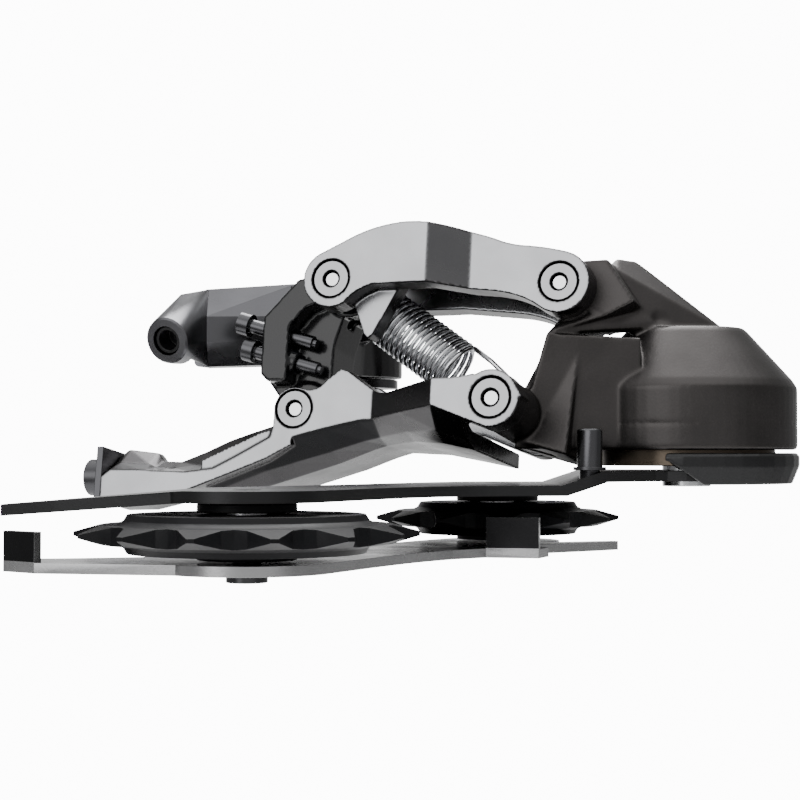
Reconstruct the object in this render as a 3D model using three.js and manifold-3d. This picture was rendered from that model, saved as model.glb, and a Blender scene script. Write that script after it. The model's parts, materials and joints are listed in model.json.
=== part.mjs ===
// Rear bicycle derailleur, long cage, for a wide cassette. Millimetres.
// X is forward on the bike, Y is up, Z is outboard (drive side). The origin is the middle of the
// hanger face: the bolt runs along Z, and the frame's hanger tab lies just inboard of z = 0.
import * as THREE from "three";
import { ConvexGeometry } from "three/addons/geometries/ConvexGeometry.js";
import { mergeVertices } from "three/addons/utils/BufferGeometryUtils.js";
import Module from "manifold-3d";

const wasm = await Module();
wasm.setup();

// ---------------------------------------------------------------- driving dimensions
const GAP = 0.3; // running clearance between touching pieces
const SMALL = 14; // sides of a small round
const MEDIUM = 24;
const LARGE = 36;

// Linkage frame: u along the links, v along the four parallel pivot pins, w across the links.
const LINKAGE_AT = [-2.4, -44, 21.6]; // the upper rear pivot on the links' near face
const PIN_YAW = THREE.MathUtils.degToRad(19.6); // the pins lean forward as they run up
const PIN_DROP = THREE.MathUtils.degToRad(9.1); // and inboard

// Pivots in (u, w): U is the outer link, L the inner link, B the hanger end, P the cage end.
const PIVOT = { UB: [0, 0], UP: [47.65, -1.06], LB: [-8.48, -26.5], LP: [39.17, -27.56] };
const OUTER_NEAR_B = 0; // v of each link's near face at its two ends
const OUTER_NEAR_P = 4.1;
const INNER_NEAR_B = 4.7;
const INNER_NEAR_P = -11.5;
const LINK_FAR = 31; // v of both links' far faces
const EAR = 6; // thickness of a link's ear
const PIN_R = 1.5;
const PIN_BORE_R = 1.85;
const BUSH_R = 2.9;
const BUSH_FLANGE_R = 4;
const BUSH_FLANGE = 1;

// Hanger end
const HANGER_BOLT_R = 5; // M10
const B_BARREL_R = 12.5;
const B_BARREL_TOP = 23.5;
const STOP_WASHER = 2;

// Cage end, on the cage's own pivot axis
const P_AT = [71.5, -42];
const P_R = 22.7;
const P_BOTTOM = -14;
const P_SHOULDER = -1.3;
const P_TOP = 11.2;
const P_AXLE_R = 5;
const BELL_SIDES = 64;

// Cage and pulleys
const GUIDE_AT = [32.6, -35];
const TENSION_AT = [-14.1, -113];
const PULLEY_Z = -28.2;
const CHAIN_PITCH = 12.7;
const GUIDE_TEETH = 12;
const TENSION_TEETH = 14;
const OUTER_PLATE_Z = -20.8; // outboard face beside the pulleys
const OUTER_PLATE = 2;
const OUTER_PLATE_LIFT = 2.6; // how far the plate steps outboard at the cage pivot
const INNER_PLATE_Z = -33; // outboard face of the inner plate
const INNER_PLATE = 1.8;

// ---------------------------------------------------------------- materials
const LOOKS = {
  link: { color: 0xa9abb0, roughness: 0.33, metalness: 0.9 },
  gunmetal: { color: 0x5b5a5c, roughness: 0.42, metalness: 0.85 },
  gloss_black: { color: 0x141416, roughness: 0.2, metalness: 0.5 },
  housing: { color: 0x4a4644, roughness: 0.5, metalness: 0.6 },
  satin_black: { color: 0x1d1e20, roughness: 0.45, metalness: 0.5 },
  pulley: { color: 0x101113, roughness: 0.4, metalness: 0.2 },
  steel: { color: 0xb9bcc0, roughness: 0.25, metalness: 1 },
  dark_steel: { color: 0x35363a, roughness: 0.3, metalness: 0.9 },
  bearing: { color: 0x8c8f94, roughness: 0.3, metalness: 1 },
  bronze: { color: 0x6d5f4c, roughness: 0.4, metalness: 0.8 },
};

// ---------------------------------------------------------------- solids
function solid(geometry) {
  const bare = geometry.clone();
  bare.deleteAttribute("normal");
  bare.deleteAttribute("uv");
  const merged = mergeVertices(bare, 1e-4);
  return new wasm.Manifold(
    new wasm.Mesh({
      numProp: 3,
      vertProperties: new Float32Array(merged.attributes.position.array),
      triVerts: new Uint32Array(merged.index.array),
    }),
  );
}

function geometryOf(body) {
  const made = body.getMesh();
  const geometry = new THREE.BufferGeometry();
  geometry.setAttribute("position", new THREE.BufferAttribute(made.vertProperties, 3));
  geometry.setIndex(new THREE.BufferAttribute(made.triVerts, 1));
  const faceted = geometry.toNonIndexed();
  faceted.computeVertexNormals();
  return faceted;
}

function join(...geometries) {
  return geometryOf(geometries.map(solid).reduce((a, b) => a.add(b)));
}

function cut(geometry, ...tools) {
  return geometryOf(tools.map(solid).reduce((a, b) => a.subtract(b), solid(geometry)));
}

function common(...geometries) {
  return geometryOf(geometries.map(solid).reduce((a, b) => a.intersect(b)));
}

// ---------------------------------------------------------------- outlines
function polygon(points) {
  return new THREE.Shape(points.map(([x, y]) => new THREE.Vector2(x, y)));
}

function circle(x, y, radius) {
  const shape = new THREE.Shape();
  shape.absarc(x, y, radius, 0, 2 * Math.PI, false);
  return shape;
}

// A sector about (x, y) from angle a0 to a1 in degrees, for the room a swinging link needs.
function sector([x, y], radius, a0, a1) {
  const [from, to] = [a0, a1].map(THREE.MathUtils.degToRad);
  const shape = new THREE.Shape();
  shape.moveTo(x, y);
  shape.lineTo(x + radius * Math.cos(from), y + radius * Math.sin(from));
  shape.absarc(x, y, radius, from, to, false);
  return shape;
}

// ---------------------------------------------------------------- pieces in the row's own frame
function prism(shape, z0, z1, segments = 8) {
  const settings = { depth: z1 - z0, bevelEnabled: false, curveSegments: segments };
  return new THREE.ExtrudeGeometry(shape, settings).translate(0, 0, z0);
}

function rod([x, y], radius, z0, z1, sides = SMALL) {
  const geometry = new THREE.CylinderGeometry(radius, radius, z1 - z0, sides);
  return geometry.rotateX(Math.PI / 2).translate(x, y, (z0 + z1) / 2);
}

// A turned piece: profile points are (radius, z), starting and ending on the axis.
function turned([x, y], profile, sides = LARGE) {
  const points = profile.map(([r, z]) => new THREE.Vector2(r, z));
  return new THREE.LatheGeometry(points, sides).rotateX(Math.PI / 2).translate(x, y, 0);
}

function ring([x, y], inner, outer, z0, z1, sides = MEDIUM) {
  return cut(rod([x, y], outer, z0, z1, sides), rod([x, y], inner, z0 - 1, z1 + 1, sides));
}

function hull(points) {
  return new ConvexGeometry(points.map(([x, y, z]) => new THREE.Vector3(x, y, z)));
}

function wire(points, radius, steps, sides = 6) {
  const path = new THREE.CatmullRomCurve3(points, false, "catmullrom", 0.5);
  const settings = { steps, extrudePath: path, curveSegments: sides / 2 };
  return new THREE.ExtrudeGeometry(circle(0, 0, radius), settings);
}

// ---------------------------------------------------------------- pieces in the linkage frame
const u = new THREE.Vector3(Math.cos(PIN_YAW), -Math.sin(PIN_YAW), 0);
const v = new THREE.Vector3(
  Math.sin(PIN_YAW) * Math.cos(PIN_DROP),
  Math.cos(PIN_YAW) * Math.cos(PIN_DROP),
  -Math.sin(PIN_DROP),
);
const w = new THREE.Vector3().crossVectors(u, v);
const LINKAGE = new THREE.Matrix4().makeBasis(u, v, w).setPosition(...LINKAGE_AT);

function inRow(geometry) {
  return geometry.clone().applyMatrix4(LINKAGE);
}

// A (u, w) outline, solid from v0 to v1.
function slab(shape, v0, v1, segments = 8) {
  return prism(shape, 0, v1 - v0, segments).rotateX(Math.PI / 2).translate(0, v1, 0);
}

function cross([pu, pw], radius, v0, v1, sides = SMALL) {
  const geometry = new THREE.CylinderGeometry(radius, radius, v1 - v0, sides);
  return geometry.translate(pu, (v0 + v1) / 2, pw);
}

// A solid skinned over matching sections, in (u, v, w); caps lists the triangles that close its ends.
function loft(sections, caps) {
  const count = sections[0].length;
  const corners = sections.flat().flat();
  const index = [];
  sections.slice(1).forEach((_, i) => {
    const [a, b] = [i * count, (i + 1) * count];
    for (let k = 0; k < count; k++) {
      const next = (k + 1) % count;
      index.push(a + k, b + next, b + k, a + k, a + next, b + next);
    }
  });
  const last = (sections.length - 1) * count;
  for (const [p, q, r] of caps) index.push(p, r, q, last + p, last + q, last + r);
  const geometry = new THREE.BufferGeometry();
  geometry.setAttribute("position", new THREE.Float32BufferAttribute(corners, 3));
  geometry.setIndex(index);
  return geometry;
}

// ---------------------------------------------------------------- outer link
function outerFace() {
  const [bu, bw] = PIVOT.UB;
  const [pu, pw] = PIVOT.UP;
  const shape = new THREE.Shape();
  shape.absarc(bu, bw, 6.1, 2.1, 5.25, false);
  shape.quadraticCurveTo(5.2, -2.6, 9.2, -1.4);
  shape.lineTo(21.2, -1.3);
  shape.lineTo(34, -2.6);
  shape.quadraticCurveTo(40, -3.4, 43.6, -6);
  shape.absarc(pu, pw, 6.4, 4.05, 7.6, false);
  shape.quadraticCurveTo(45, 6.3, 40, 6.8);
  shape.quadraticCurveTo(37, 7.1, 34, 8.4);
  shape.quadraticCurveTo(25, 11.6, 16, 11.7);
  shape.quadraticCurveTo(9, 11.3, 3, 8.2);
  shape.closePath();
  return shape;
}

function outerLink() {
  const plan = polygon([
    [-10, OUTER_NEAR_B],
    [20.6, OUTER_NEAR_B],
    [29, OUTER_NEAR_P],
    [60, OUTER_NEAR_P],
    [60, LINK_FAR],
    [-10, LINK_FAR],
  ]);
  const block = common(slab(outerFace(), -1, LINK_FAR + 1), prism(plan, -20, 20));
  const channel = polygon([
    [-12, -14],
    [-12, 9.5],
    [1.2, 9.5],
    [4.8, 4.9],
    [9.5, 7.6],
    [16, 8.2],
    [25, 7.4],
    [33, 5],
    [39.4, 3.4],
    [41.6, 12],
    [60, 12],
    [60, -14],
  ]);
  const [innerB, innerP] = [OUTER_NEAR_B + EAR, OUTER_NEAR_P + EAR];
  const inside = polygon([
    [-12, innerB],
    [20.6, innerB],
    [29, innerP],
    [62, innerP],
    [62, LINK_FAR - EAR],
    [-12, LINK_FAR - EAR],
  ]);
  const hollow = common(slab(channel, -2, LINK_FAR + 2), prism(inside, -20, 20));
  // The horn that meets the low-gear limit screw, standing behind the near ear.
  const horn = polygon([
    [2.6, 2],
    [2.4, -1.5],
    [6.1, -11],
    [7.1, -11.8],
    [8.2, -10.8],
    [14, 0],
    [14, 9],
    [6.5, 9],
  ]);
  const sides = [
    [PIVOT.UB, OUTER_NEAR_B],
    [PIVOT.UP, OUTER_NEAR_P],
  ];
  const body = join(cut(block, hollow), common(slab(horn, 5, 10), slab(hornReach(), 4, 11)));
  return cut(body, ...sides.flatMap(([at, near]) => bushSeats(at, near)));
}

// The horn stays under the link's own top skin.
function hornReach() {
  return polygon([
    [0, -14],
    [18, -14],
    [18, 9.5],
    [9, 9.5],
    [4, 6.5],
    [0, 2],
  ]);
}

// The flange seats and bores for the two bushes of one pivot.
function bushSeats(at, near) {
  const flange = BUSH_FLANGE_R + GAP / 2;
  return [
    cross(at, BUSH_R + GAP, near - 1, LINK_FAR + 1),
    cross(at, flange, near - 1, near + BUSH_FLANGE - 0.1, MEDIUM),
    cross(at, flange, LINK_FAR - BUSH_FLANGE + 0.1, LINK_FAR + 1, MEDIUM),
  ];
}

// A flanged plain bush pressed in from one side of a link.
function bush(at, face, inward) {
  const flange = [face + inward * 0.25, face + inward * (BUSH_FLANGE - 0.2)];
  const barrel = [face + inward * 0.25, face + inward * (EAR - 0.3)];
  const piece = join(
    cross(at, BUSH_FLANGE_R - GAP / 2, Math.min(...flange), Math.max(...flange), MEDIUM),
    cross(at, BUSH_R, Math.min(...barrel), Math.max(...barrel)),
  );
  return cut(piece, cross(at, PIN_BORE_R, -20, LINK_FAR + 5));
}

function pivotPin(at, near) {
  return cross(at, PIN_R, near + 0.9, LINK_FAR - 0.9, 16);
}

// ---------------------------------------------------------------- inner link
function innerFace() {
  const [bu, bw] = PIVOT.LB;
  const [pu, pw] = PIVOT.LP;
  const shape = new THREE.Shape();
  shape.moveTo(-14.2, -34.2);
  shape.quadraticCurveTo(-12.6, -31, -13, -27);
  shape.absarc(bu, bw, 4.5, 3.2, 1.35, true);
  shape.quadraticCurveTo(-3.6, -23.4, -1.6, -20.6);
  shape.lineTo(1.6, -18.2);
  shape.lineTo(3.2, -18.6);
  shape.lineTo(9.6, -23.1);
  shape.quadraticCurveTo(12, -24.2, 16, -23.9);
  shape.lineTo(31, -23.5);
  shape.quadraticCurveTo(33.6, -23.3, 35.4, -22.8);
  shape.absarc(pu, pw, 5.6, 2.2, 0.45, true);
  shape.lineTo(45.6, -27.4);
  shape.absarc(pu, pw, 5.8, 0, -1.75, true);
  shape.quadraticCurveTo(33, -31.4, 27, -29);
  shape.lineTo(8, -28.8);
  shape.quadraticCurveTo(-2, -30.6, -14.2, -34.2);
  return shape;
}

// The inner link's plan: level at the rear pivot, then a ramp up to the nearer front pivot.
function innerPlan(nearB, nearP, far) {
  return polygon([
    [-60, nearB],
    [9, nearB],
    [27, nearP],
    [60, nearP],
    [60, far],
    [-60, far],
  ]);
}

// The inner link's near-face height in v at a place along u.
function innerNear(pu) {
  const share = THREE.MathUtils.clamp((pu - 9) / 18, 0, 1);
  return THREE.MathUtils.lerp(INNER_NEAR_B, INNER_NEAR_P, share);
}

// The inboard skin: it rolls under from the near face's lower edge, then runs back to the far ears.
const SKIN = [
  // u, w at the near face, w where it turns back
  [-29, -40.6, -45.4],
  [-15.5, -34.6, -41.1],
  [-10, -33.2, -39.4],
  [-1, -31, -36.6],
  [6, -29.4, -33.9],
  [9.4, -29, -32.9],
  [18, -29, -33.3],
  [27, -29.3, -35],
  [33.4, -31.4, -36.3],
];
const SKIN_THICK = 3.3;

function innerWeb() {
  const sections = SKIN.map(([pu, edge, low]) => {
    const near = innerNear(pu) + 0.35; // a hair behind the near face
    return [
      [pu, near, edge],
      [pu, near + 4.5, (edge + low) / 2 - 1],
      [pu, near + 9.5, low],
      [pu, LINK_FAR, low + 1],
      [pu, LINK_FAR, low + 1 + SKIN_THICK],
      [pu, near + 8.5, low + SKIN_THICK + 0.3],
      [pu, near + 3.6, (edge + low) / 2 + SKIN_THICK - 0.6],
      [pu, near, edge + SKIN_THICK],
    ];
  });
  const strips = [
    [0, 1, 7],
    [1, 6, 7],
    [1, 2, 6],
    [2, 5, 6],
    [2, 3, 5],
    [3, 4, 5],
  ];
  return loft(sections, strips);
}

// The rear arm that carries the cable clamp, and the curved track the cable lies on.
const ARM = [
  [-8, -23.5],
  [-13.5, -27.8],
  [-22.5, -30.6],
  [-30, -33.6],
  [-37.5, -36.6],
  [-41.5, -36.6],
  [-43.5, -35.2],
  [-44.4, -33.8],
  [-51, -33],
  [-52.4, -34.2],
  [-52.4, -46.5],
  [-47, -47.5],
  [-29, -43],
  [-13, -36.6],
  [-8, -34],
];
const ARM_WIDTH = 11;

// The arm's near strip is low, and the cable's track climbs from it to the far edge.
const TRACK = [
  // u, w of the bottom, w of the near strip's top, w of the track's far edge
  [-52.4, -46.4, -41, -35.4],
  [-50.4, -47, -39.5, -33.8],
  [-43.2, -46.8, -39.5, -34.6],
  [-41.6, -46.4, -39.6, -36.4],
  [-37.5, -45.4, -39.8, -36.5],
  [-32, -44, -39.9, -34.4],
  [-26.2, -41.8, -39.3, -31.8],
  [-21.4, -40, -36.9, -30.2],
  [-14.2, -37.2, -33, -28],
  [-8.5, -34.2, -29.6, -25],
];

function cableArm() {
  const near = INNER_NEAR_B;
  const sections = TRACK.map(([pu, bottom, strip, top]) => [
    [pu, near, bottom],
    [pu, near + ARM_WIDTH, bottom],
    [pu, near + ARM_WIDTH, top],
    [pu, near + ARM_WIDTH - 2.5, top],
    [pu, near + 4.5, strip + (top - strip) * 0.38],
    [pu, near, strip],
  ]);
  const strips = [
    [0, 1, 4],
    [0, 4, 5],
    [1, 3, 4],
    [1, 2, 3],
  ];
  return loft(sections, strips);
}

// What the arm takes up as it comes over to the cable stop at the inboard end of its swing.
const SWING = 42;

function armRooms() {
  const [bu, bw] = PIVOT.LB;
  return [SWING, SWING - 4, SWING - 8].map((degrees) => {
    const angle = THREE.MathUtils.degToRad(degrees + 0.5);
    const [c, s] = [Math.cos(angle), Math.sin(angle)];
    const turnedArm = ARM.map(([pu, pw]) => [
      bu + (pu - bu) * c + (pw - bw) * s,
      bw - (pu - bu) * s + (pw - bw) * c + GAP,
    ]);
    return slab(polygon(turnedArm), INNER_NEAR_B - GAP, INNER_NEAR_B + ARM_WIDTH + GAP);
  });
}

function innerLink() {
  const far = LINK_FAR;
  const plan = innerPlan(INNER_NEAR_B, INNER_NEAR_P, far);
  const inside = innerPlan(INNER_NEAR_B + EAR, INNER_NEAR_P + EAR, far - EAR);
  const plate = common(slab(innerFace(), -14, far + 1), prism(plan, -60, 0));
  const room = polygon([
    [-30, -10],
    [-30, -33.4],
    [60, -33.4],
    [60, -10],
  ]);
  const hollow = common(slab(room, -16, far + 2), prism(inside, -60, 0));
  const web = common(innerWeb(), prism(plan, -60, 0));
  const boltHole = new THREE.CylinderGeometry(2.1, 2.1, 30, 16);
  boltHole.rotateZ(Math.PI / 2).translate(-50, INNER_NEAR_B + 5.5, -40.5);
  const bossRoom = cross(PIVOT.LB, 7, INNER_NEAR_B + EAR, far - EAR, MEDIUM);
  const body = cut(join(cut(plate, hollow), web, cableArm()), boltHole, bossRoom);
  const seats = [
    ...bushSeats(PIVOT.LB, INNER_NEAR_B),
    ...bushSeats(PIVOT.LP, INNER_NEAR_P),
  ];
  return cut(body, ...seats);
}

// ---------------------------------------------------------------- hanger end
// The neck between the far ears and the hanger barrel; room widens it for what must clear it.
function bridge(room) {
  const box = (u0, u1, w0, w1, at) => [
    [u0 - room, at, w0 - room],
    [u1 + room, at, w0 - room],
    [u1 + room, at, w1 + room],
    [u0 - room, at, w1 + room],
  ];
  return [
    hull([...box(-17, -4, -19, -7.2, 20 - room), ...box(-17, -4, -19, -7.2, 32)]),
    hull([...box(-16.8, -4.2, -18.8, -7.5, 31.4), ...box(-21, -2.4, -20, -3.5, 39 + room)]),
  ];
}

function bScrewLug(radius) {
  const lug = new THREE.CylinderGeometry(radius, radius, 12, SMALL);
  return lug.translate(B_SCREW.at[0], -7, B_SCREW.z);
}

function bKnuckle() {
  const bosses = [
    cross(PIVOT.UB, 5.7, OUTER_NEAR_B + EAR + 5, 15.4, MEDIUM),
    cross(PIVOT.UB, 5.7, 18.8, LINK_FAR - EAR - GAP, MEDIUM),
    cross(PIVOT.LB, 6.6, INNER_NEAR_B + EAR + GAP, LINK_FAR - EAR - GAP, MEDIUM),
  ];
  const neck = polygon([
    [-5, 3.4],
    [-1, -5],
    [-3, -12],
    [-3.2, -26],
    [-12, -30.4],
    [-14, -24],
    [-17.4, -19.6],
    [-17.4, -5],
    [-10, 1.5],
  ]);
  const screwBlock = polygon([
    [-17.4, -6.4],
    [-10, 1.6],
    [-4, 3.2],
    [-4, -3],
    [-8, -4.6],
    [-11.4, -8.4],
    [-11.4, -20.2],
    [-15.8, -20.2],
    [-17.4, -18.6],
  ]);
  const slot = slab(polygon([[-7, -7], [10, -7], [10, 7], [-7, 7]]), 15.4, 18.8);
  const arms = [
    slab(neck, 11.6, LINK_FAR - EAR - 0.5),
    slab(screwBlock, OUTER_NEAR_B + EAR + GAP, 12.3),
    limitScrewBoss(HIGH_SCREW),
    limitScrewBoss(LOW_SCREW),
    ...bridge(0),
    ...bosses,
  ].map(inRow);
  const barrel = rod([0, 0], B_BARREL_R, STOP_WASHER + GAP, B_BARREL_TOP, LARGE);
  const body = join(barrel, bScrewLug(4), ...arms);
  return cut(
    body,
    rod([0, 0], 19, -20, STOP_WASHER + GAP, LARGE),
    rod([0, 0], HANGER_BOLT_R + 2.3, 0, 30, MEDIUM),
    inRow(slot),
    inRow(cross(PIVOT.UB, PIN_R + GAP / 2, -5, LINK_FAR + 5, 16)),
    inRow(cross(PIVOT.LB, PIN_R + GAP / 2, -5, LINK_FAR + 5, 16)),
    inRow(limitScrewBore(HIGH_SCREW)),
    inRow(limitScrewBore(LOW_SCREW)),
    bScrewBore(),
  );
}

// Limit screws: tip and head ends in (u, w), all at one v.
const SCREW_V = 9.3;
const SCREW_R = 1.5;
const SCREW_HEAD = { radius: 2.5, height: 2.6 };
const SCREW_TIP = { radius: 1, height: 0.9 };
const SCREW_BOSS = { radius: 2.5, from: 10, to: 13 }; // along the screw from its head
const HIGH_SCREW = { head: [-22.4, -12.6], tip: [-4.4, -17.6] };
const LOW_SCREW = { head: [-23.9, -6.9], tip: [-5.9, -11.9] };

function alongScrew({ head, tip }, radius, from, to, sides = 16) {
  const length = Math.hypot(tip[0] - head[0], tip[1] - head[1]);
  const angle = Math.atan2(tip[1] - head[1], tip[0] - head[0]);
  const middle = (from + to) / 2 / length;
  const geometry = new THREE.CylinderGeometry(radius, radius, to - from, sides);
  return geometry
    .rotateZ(-Math.PI / 2)
    .rotateY(-angle)
    .translate(
      head[0] + (tip[0] - head[0]) * middle,
      SCREW_V,
      head[1] + (tip[1] - head[1]) * middle,
    );
}

function limitScrewBore(screw) {
  return alongScrew(screw, SCREW_R + GAP / 2, 3, 30);
}

function limitScrewBoss(screw) {
  return alongScrew(screw, SCREW_BOSS.radius, SCREW_BOSS.from, SCREW_BOSS.to, 20);
}

function limitScrew(screw) {
  const length = Math.hypot(screw.tip[0] - screw.head[0], screw.tip[1] - screw.head[1]);
  const socket = alongScrew(screw, 1.2, -0.5, 1.6, 6);
  return cut(
    join(
      alongScrew(screw, SCREW_HEAD.radius, 0, SCREW_HEAD.height, 20),
      alongScrew(screw, SCREW_R, 2, length - SCREW_TIP.height),
      alongScrew(screw, SCREW_TIP.radius, length - 2, length),
    ),
    socket,
  );
}

const B_SCREW = { at: [-13.5, 9.8], z: 7.5, radius: 2 };

function bScrewBore() {
  const bore = new THREE.CylinderGeometry(2.3, 2.3, 30, SMALL);
  const head = new THREE.CylinderGeometry(3.4, 3.4, 14, SMALL).translate(0, -15.3, 0);
  return join(bore, head).translate(B_SCREW.at[0], -5, B_SCREW.z);
}

// The tension screw for the hanger pivot bears on the stop washer's tab.
function bTensionScrew() {
  const [x, tip] = B_SCREW.at;
  const shank = new THREE.CylinderGeometry(B_SCREW.radius, B_SCREW.radius, 26, 16);
  const head = new THREE.CylinderGeometry(3, 3, 3, 20);
  const socket = new THREE.CylinderGeometry(1.5, 1.5, 2, 6);
  const screw = join(
    shank.translate(x, tip - 13, B_SCREW.z),
    head.translate(x, tip - 26, B_SCREW.z),
  );
  return cut(screw, socket.translate(x, tip - 27.3, B_SCREW.z));
}

function stopWasher() {
  const tab = polygon([
    [-17, 10.6],
    [-9, 10.6],
    [-5, 6],
    [0, 8],
    [0, 13],
    [-8, 15],
    [-17, 14],
  ]);
  const upstand = polygon([
    [-16.5, 10.2],
    [-10.5, 10.2],
    [-10.5, 12.6],
    [-16.5, 12.6],
  ]);
  const plate = join(rod([0, 0], 11.5, 0, STOP_WASHER, LARGE), prism(tab, 0, STOP_WASHER));
  const folded = join(plate, prism(upstand, 0, 10.5));
  return cut(folded, rod([0, 0], HANGER_BOLT_R + GAP, -1, 5, MEDIUM));
}

function hangerBolt() {
  const top = B_BARREL_TOP + GAP;
  const profile = [
    [0, -9],
    [4.2, -9],
    [HANGER_BOLT_R, -8.2],
    [HANGER_BOLT_R, top],
    [8.5, top],
    [8.5, top + 1.4],
    [7.6, top + 3.2],
    [0, top + 3.2],
  ];
  return cut(turned([0, 0], profile, MEDIUM), rod([0, 0], 2.9, top - 2, top + 5, 6));
}

// The housing stop: a faceted beam off the hanger barrel that turns to face rearward at its tip.
const STOP_TIP = new THREE.Vector3(-37.5, -35, 9.1);
const STOP_BORE_TO = new THREE.Vector3(0.4, 0.87, 0.28).normalize();
const STOP_FACE_R = 5;

function alongStop(geometry, from) {
  const turn = new THREE.Quaternion().setFromUnitVectors(new THREE.Vector3(0, 0, 1), STOP_BORE_TO);
  const start = STOP_TIP.clone().addScaledVector(STOP_BORE_TO, from);
  return geometry.applyQuaternion(turn).translate(start.x, start.y, start.z);
}

// The corners of a round cross-section of the stop, a distance in from its face.
function stopRing(radius, from, sides = MEDIUM) {
  const ringShape = alongStop(new THREE.CircleGeometry(radius, sides), from);
  const at = ringShape.attributes.position;
  return Array.from({ length: sides }, (_, i) => [at.getX(i + 1), at.getY(i + 1), at.getZ(i + 1)]);
}

function cableStop() {
  const tip = [...stopRing(STOP_FACE_R - 0.4, 0), ...stopRing(STOP_FACE_R, 0.4)];
  const shoulder = [
    [-37.6, -27.5, 17],
    [-35.6, -25, 19.8],
    [-32, -17, 20],
    [-33, -26, 5],
    [-32, -17, 10],
  ];
  const beamStart = [
    [-30, -20, 21.3],
    [-30, -24.6, 15],
    [-30, -24.6, 9.4],
    [-30, -21, 4.2],
    [-30, -13, 4.2],
    [-30, -13, 20.6],
  ];
  const beamEnd = [
    [-11, -17, 22.8],
    [-11, -20.5, 15.4],
    [-11, -20.5, 9.7],
    [-12, -17, 5],
    [-12, -6, 5],
    [-12, -6, 22.8],
  ];
  const body = join(
    hull([...tip, ...shoulder, ...beamStart]),
    hull([...beamStart.map(([x, y, z]) => [x - 0.6, y, z]), ...beamEnd]),
  );
  const bore = alongStop(new THREE.CylinderGeometry(3.2, 3.2, 12, 24).rotateX(Math.PI / 2), 3);
  const cableWay = alongStop(new THREE.CylinderGeometry(1, 1, 60, 12).rotateX(Math.PI / 2), 20);
  const seat = rod([0, 0], B_BARREL_R + GAP, -5, 30, LARGE);
  const head = new THREE.CylinderGeometry(4.3, 4.3, 30, SMALL);
  const lugRoom = head.translate(B_SCREW.at[0], -12, B_SCREW.z);
  const neckRoom = slab(polygon([[-18, -22], [0, -22], [0, 4], [-18, 4]]), -5, 25.4);
  const screwRooms = [HIGH_SCREW, LOW_SCREW].map((screw) => alongScrew(screw, 2.9, -5, 20));
  const rooms = [...bridge(GAP), neckRoom, ...screwRooms, ...armRooms()].map(inRow);
  return cut(body, bore, cableWay, seat, lugRoom, ...rooms);
}

function housingFerrule() {
  const sleeve = alongStop(new THREE.CylinderGeometry(2.9, 2.9, 8, 24).rotateX(Math.PI / 2), 4.6);
  const mouth = alongStop(new THREE.CylinderGeometry(2.2, 2.2, 6, 20).rotateX(Math.PI / 2), 2);
  const way = alongStop(new THREE.CylinderGeometry(0.9, 0.9, 30, 12).rotateX(Math.PI / 2), 5);
  return cut(sleeve, mouth, way);
}

// ---------------------------------------------------------------- return spring
const SPRING = { v: 17, radius: 5.7, wire: 0.6, from: 9.5, to: 28.5, turns: 12 };

// An extension spring drawn across the parallelogram, hooked on the pins at UB and LP.
function returnSpring() {
  const [bu, bw] = PIVOT.UB;
  const [pu, pw] = PIVOT.LP;
  const length = Math.hypot(pu - bu, pw - bw);
  const along = new THREE.Vector3((pu - bu) / length, 0, (pw - bw) / length);
  const side = new THREE.Vector3(-along.z, 0, along.x);
  const start = new THREE.Vector3(bu, SPRING.v, bw);
  const up = new THREE.Vector3(0, 1, 0);
  const at = (distance, out, lift) =>
    start.clone().addScaledVector(along, distance).addScaledVector(side, out).addScaledVector(up, lift);
  const hook = PIN_R + 1.4;
  const points = [
    at(-hook * 0.6, -hook * 0.8, 0),
    at(-hook, 0, 0),
    at(0, hook, 0),
    at(4.5, SPRING.radius * 0.7, 0),
  ];
  const perTurn = 8;
  for (let i = 0; i <= SPRING.turns * perTurn; i++) {
    const angle = (2 * Math.PI * i) / perTurn;
    const distance = SPRING.from + ((SPRING.to - SPRING.from) * i) / (SPRING.turns * perTurn);
    points.push(at(distance, SPRING.radius * Math.cos(angle), SPRING.radius * Math.sin(angle)));
  }
  points.push(
    at(length - 8, SPRING.radius * 0.9, 0),
    at(length, hook, 0),
    at(length + hook, 0, 0),
    at(length + hook * 0.6, -hook * 0.8, 0),
  );
  return wire(points, SPRING.wire, SPRING.turns * perTurn + 20, 6);
}

// ---------------------------------------------------------------- cage end
// What a knuckle must leave clear for a link's ears and skin as the link swings about a pivot.
function swingRoom(pivot, near, [lobe, boss], [a0, a1]) {
  const reach = 45;
  const close = 16; // inside this radius the link is tall, so its room opens wider
  const inner = [near + EAR, LINK_FAR - EAR];
  const ears = [
    [-40, inner[0]],
    [inner[1], 75],
  ].flatMap(([v0, v1]) => [
    slab(circle(...pivot, lobe), v0, v1, MEDIUM / 2),
    slab(sector(pivot, reach, a0, a1), v0, v1, MEDIUM / 2),
    slab(sector(pivot, close, a0 - 20, a1), v0, v1, MEDIUM / 2),
  ]);
  const skins = [
    sector(pivot, reach, a0, a1),
    sector(pivot, close, a0 - 20, a1),
  ].map((shape) =>
    cut(
      slab(shape, inner[0] - 1, inner[1] + 1, MEDIUM / 2),
      cross(pivot, boss, inner[0] - 5, inner[1] + 5, MEDIUM),
    ),
  );
  return [...ears, ...skins];
}

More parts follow.
